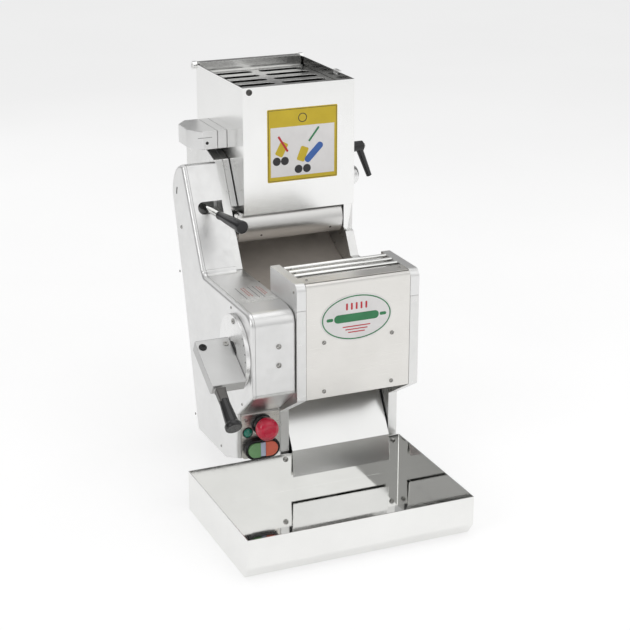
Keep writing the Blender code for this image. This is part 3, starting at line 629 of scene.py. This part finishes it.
# ---------------------------------------------------------------- casting, dial and lever details
def casting_details():
    body = "frame"
    front = layout_box("gearbox_housing")[0].y
    for i, z in enumerate((271, 241)):
        socket_screw(f"casting_screw_{i}", (-43, front, z), (0, -1, 0), 4.2, 2.6, body)
    deck = 323.5
    print_low, print_high = deck + 0.2, deck + 0.42
    bm = bmesh.new()
    prism(bm, rectangle((-45, 106), 54, 80, 2.0), deck - 0.1, deck + 0.25, "Z")
    piece("deck_film", bm, FILM, body)
    bm = bmesh.new()
    for x in (-62, -33.5, -41.5):
        prism(bm, rectangle((x, 113), 1.3, 60, 0.6), print_low, print_high, "Z")
    piece("deck_lines", bm, GREY_PRINT, body)
    bm = bmesh.new()
    for x, reach in ((-54, 40), (-49.6, 44), (-28.5, 42), (-24.5, 34)):
        for step in range(6):
            y = 113 - reach / 2 + reach * (step + 0.5) / 6
            prism(bm, rectangle((x, y), 2.0, reach / 6 - 1.8, 0.5), print_low, print_high, "Z")
    piece("deck_marks", bm, FADED_RED, body)
    side = layout_box("gearbox_cover")[0].x
    bm = bmesh.new()
    prism(bm, rectangle((182.7, 153.8), 6.5, 5.0, 2.0), side - 1.6, side + 0.4, "X")
    piece("cover_pin", bm, BLACK_SCREW, body, 0.5)
    socket_screw("cover_screw", (side, 308, 379), (-1, 0, 0), 3.2, 1.4, body)
    for i, (y, z) in enumerate(((84.5, 313.0), (43.9, 169.9), (262, 70), (140, 62), (322, 300))):
        flat_screw(f"cover_fixing_{i}", (side, y, z), (-1, 0, 0), 2.2, 0.7, body)
    # The cover slot is a thin dark band: painted shade where the gearbox's hollow inside would show.
    bm = bmesh.new()
    outline = []
    for radius, sweep in ((31.5, range(2, 30, 4)), (28.3, range(28, 0, -4))):
        for degrees in sweep:
            angle = math.radians(degrees)
            outline.append((298 + radius * math.cos(angle), 428 + radius * math.sin(angle)))
    prism(bm, outline, side - 0.25, side + 0.3, "X")
    piece("cover_slot_shade", bm, HOLE_SHADE_AND_SEAM, body)


def dial_details():
    body = "frame"
    low, high = layout_box("dial_plate")
    face = low.x
    middle = ((low.y + high.y) / 2, (low.z + high.z) / 2)
    radius = (high.z - low.z) / 2
    flat_screw("dial_screw", (face, middle[0] - 3.5, middle[1] + radius - 8), (-1, 0, 0), 4.4, 1.6, body)
    for i, angle in enumerate((141, 152, 167, 180)):
        turn = math.radians(angle)
        y = middle[0] + (radius - 4.5) * math.cos(turn)
        z = middle[1] + (radius - 4.5) * math.sin(turn)
        bm = bmesh.new()
        lathe(bm, [(1.3, -0.2), (1.3, 0.12), (1.0, 0.22)], (face, y, z), (-1, 0, 0), 20)
        piece(f"dial_mark_{i}", bm, BLACK_PRINT, body)
    bm = bmesh.new()
    lathe(bm, [(15.5, -0.1), (15.5, 0.28), (15.0, 0.34), (12.0, 0.34)], (face, *middle), (-1, 0, 0), 48)
    piece("dial_hub_ring", bm, BLACK_SCREW, body)


def lever_details():
    body = "thickness_lever"
    rear = Vector((78.0, 270.0))
    front = Vector((2.0, 225.0))
    run = (front - rear).normalized()
    up = Vector((run.y, -run.x))
    if up.y < 0:
        up = -up
    normal = (0.0, up.x, up.y)
    screws = (("black", -141, 14, 6.2, BLACK_SCREW), ("bright", -104, 13, 4.6, SCREW_STEEL))
    for name, x, along, radius, material in screws:
        spot = rear + run * along
        flat_screw(f"lever_screw_{name}", (x, spot.x, spot.y), normal, radius, 1.2, body, material)
    start = Vector((-139, -1, 218))
    end = Vector((-139, -58, 179))
    heading = (end - start).normalized()
    neck = bmesh.new()
    width, depth, length = 7.4, 6.4, 24.0
    place = stand(tuple(start - heading * 1.5), heading)
    rows = []
    for along, scale in ((0.0, 1.12), (6.0, 1.0), (length, 0.94)):
        row = []
        for sx, sy in ((1, 1), (-1, 1), (-1, -1), (1, -1)):
            row.append(neck.verts.new(place @ (Vector((sx * width * scale, sy * depth * scale, along)) * MM)))
        rows.append(row)
    for first, second in zip(rows, rows[1:]):
        for i in range(4):
            j = (i + 1) % 4
            neck.faces.new((first[i], first[j], second[j], second[i]))
    neck.faces.new(rows[0])
    neck.faces.new(rows[-1])
    piece("thickness_neck", neck, NECK, body, 2.2, 4)
    length = (end - start).length
    bm = bmesh.new()
    profile = [(7.4, 18.0), (7.8, 19.0), (7.9, 24.0), (10.2, length - 11), (11.0, length - 9)]
    profile += [(12.4, length - 7.5), (12.9, length - 6.5), (12.9, length - 2.2)]
    profile += [(12.2, length - 0.6), (10.6, length)]
    lathe(bm, profile, tuple(start), heading, 48)
    grip = piece("thickness_handle", bm, BLACK, body, 0.5)
    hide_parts("thickness_grip")


def clutch_details():
    body = "clutch"
    pivot = Vector((-67.5, 330, 419))
    tip = Vector((-45, 142, 418))
    run = tip - pivot
    heading = run.normalized()
    length = run.length
    start = length - 80
    bm = bmesh.new()
    profile = [(4.9, start + 0.3), (6.3, start + 0.6), (7.0, start + 2.0), (7.0, start + 5.0)]
    profile += [(6.2, start + 8.0), (7.4, start + 26), (8.7, start + 52), (9.0, start + 66)]
    profile += [(8.6, length - 9), (8.8, length - 8)]
    profile += [(10.2, length - 7.2), (10.2, length - 2.2), (9.6, length - 0.8), (8.0, length)]
    lathe(bm, profile, tuple(pivot), heading, 48)
    grip = piece("clutch_handle", bm, BLACK, body)
    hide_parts("clutch_grip")


# ---------------------------------------------------------------- controls
def control_details():
    body = "frame"
    face = layout_box("control_panel")[0].y
    bm = bmesh.new()
    lathe(bm, [(8.6, -0.1), (8.6, 1.2), (8.1, 1.8), (7.2, 1.8)], (-70.1, face, 110.3), (0, -1, 0), 40)
    piece("pilot_bezel", bm, BLACK_SCREW, body)
    socket_screw("panel_screw", (-73.2, face, 131.0), (0, -1, 0), 3.0, 2.2, body)
    socket_screw("panel_screw_low", (-24.0, face, 73.5), (0, -1, 0), 2.4, 1.4, body)
    bm = bmesh.new()
    prism(bm, rectangle((-49, 83), 8.4, 22.6, 0.6), 56.2, 60.5, "Y")
    piece("button_lens", bm, PALE_LENS, body, 0.8, 3)
    bm = bmesh.new()
    lathe(bm, [(16.8, -0.1), (16.8, 1.8), (16.2, 2.6), (14.9, 3.0)], (-47.1, face, 121.9), (0, -1, 0), 48)
    piece("estop_collar", bm, BLACK, body)


def estop_head():
    """The mushroom: a domed cap with a dished middle on a stem."""
    bm = bmesh.new()
    profile = [(9.0, -11.3), (9.0, -0.2), (16.6, -0.1), (17.5, 0.6), (18.0, 2.4), (18.0, 7.5), (17.3, 11.0)]
    profile += [(15.4, 13.9), (12.2, 15.8), (9.8, 16.6), (8.6, 16.4), (6.4, 15.7), (3.0, 15.3)]
    lathe(bm, profile, (-47.1, 50, 121.9), (0, -1, 0), 56)
    head = piece("estop_mushroom", bm, CRIMSON, "estop")
    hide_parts("estop_button")


# ---------------------------------------------------------------- tray, guard, rear
def sheet_details():
    body = "frame"
    low, high = layout_box("tray")
    inner_back = high.y - 1.5
    for i, x in enumerate((-9, 178)):
        socket_screw(f"tray_screw_{i}", (x, inner_back, 56), (0, -1, 0), 4.2, 3.0, body)
    # Each guard hole is a small dark disc of painted shade.
    for i, x in enumerate((26, 147)):
        bm = bmesh.new()
        angle = math.radians(208)
        spot = (x, 272 + 30 * math.cos(angle), 383 + 30 * math.sin(angle))
        lathe(bm, [(1.7, -0.3), (1.7, 0.12), (1.2, 0.18)], spot, (0, math.cos(angle), math.sin(angle)), 20)
        piece(f"guard_hole_shade_{i}", bm, HOLE_SHADE_AND_SEAM, body)
    for i, x in enumerate((4, 154)):
        flat_screw(f"slide_screw_{i}", (x, 206, 304.2), (0, -0.12, 1), 3.0, 0.9, body)
    rear = layout_box("rear_panel")[1].y
    for row in range(9):
        bm = bmesh.new()
        z = 90 + 12 * row
        prism(bm, [(rear - 0.2, z + 5), (rear + 2.6, z), (rear - 0.2, z - 0.6)], 50, 122, "X")
        piece(f"rear_louvre_{row}", bm, BRUSHED, body, 0.3)
    for i, (x, z) in enumerate(((10, 34), (162, 34), (10, 392), (162, 392))):
        socket_screw(f"rear_screw_{i}", (x, rear, z), (0, 1, 0), 3.4, 2.0, body)


# ---------------------------------------------------------------- floor, light and camera
FLOOR_REACH = 16.0
FLOOR_DROP = -0.0004


def floor_sheet():
    bm = bmesh.new()
    corners = []
    for sx, sy in ((-1, -1), (1, -1), (1, 1), (-1, 1)):
        corners.append(bm.verts.new((sx * FLOOR_REACH, sy * FLOOR_REACH, FLOOR_DROP)))
    bm.faces.new(corners)
    mesh = bpy.data.meshes.new("floor")
    bm.to_mesh(mesh)
    bm.free()
    surface = Surface("floor", Roughness=0.7, Emission_Strength=0.56)
    surface.shader.inputs["Emission Color"].default_value = (1.0, 1.0, 1.0, 1.0)
    surface.colours(surface.noise(2.0, 2.0), (0.50, 0.50, 0.50), (0.52, 0.52, 0.52))
    mesh.materials.append(surface.material)
    floor = bpy.data.objects.new("floor", mesh)
    bpy.context.scene.collection.objects.link(floor)


def sky():
    """A soft white sky whose lower part is darker, which gives the bright metal something to show."""
    world = bpy.data.worlds.new("studio")
    bpy.context.scene.world = world
    world.use_nodes = True
    nodes = world.node_tree.nodes
    links = world.node_tree.links
    background = nodes["Background"]
    place = nodes.new("ShaderNodeTexCoord")
    split = nodes.new("ShaderNodeSeparateXYZ")
    ramp = nodes.new("ShaderNodeValToRGB")
    links.new(place.outputs["Generated"], split.inputs["Vector"])
    links.new(split.outputs["Z"], ramp.inputs["Fac"])
    stops = ((0.0, 0.50), (0.10, 0.30), (0.20, 0.22), (0.34, 0.60), (0.75, 1.0))
    while len(ramp.color_ramp.elements) < len(stops):
        ramp.color_ramp.elements.new(0.5)
    for element, (position, level) in zip(ramp.color_ramp.elements, stops):
        element.position = position
        element.color = (level, level, level, 1.0)
    links.new(ramp.outputs["Color"], background.inputs["Color"])
    background.inputs["Strength"].default_value = 0.62


def lamps():
    target = (CAD_BOX[0] + CAD_BOX[1]) / 2
    panels = (("key", (-2.0, -1.0, 1.3), 1.5, 1.5, 11), ("front", (1.0, -2.0, 1.6), 2.8, 2.6, 14),
              ("right", (2.2, 0.2, 1.0), 1.4, 1.4, 5), ("top", (0.0, 0.1, 2.4), 2.0, 1.6, 9),
              ("back", (-0.4, 2.4, 1.2), 1.8, 1.2, 4))
    for name, place, width, height, power in panels:
        light = bpy.data.lights.new(name, "AREA")
        light.shape = "RECTANGLE"
        light.size = width
        light.size_y = height
        light.energy = power
        lamp = bpy.data.objects.new(name, light)
        bpy.context.scene.collection.objects.link(lamp)
        lamp.location = place
        lamp.rotation_euler = (target - Vector(place)).to_track_quat("-Z", "Y").to_euler()


def camera():
    data = bpy.data.cameras.new("camera")
    data.lens = 94.44
    data.sensor_width = 36.0
    viewer = bpy.data.objects.new("camera", data)
    bpy.context.scene.collection.objects.link(viewer)
    viewer.location = (-0.93542, -2.27514, 1.14061)
    viewer.rotation_euler = (math.radians(90 - 19.591), 0.0, math.radians(-23.353))
    bpy.context.scene.camera = viewer


bpy.context.scene.view_settings.view_transform = "Standard"
camera()
floor_sheet()
sky()
lamps()
dress_nodes()
casting()
cutter_details()
hopper_details()
bracket_details()
casting_details()
dial_details()
lever_details()
clutch_details()
control_details()
estop_head()
sheet_details()
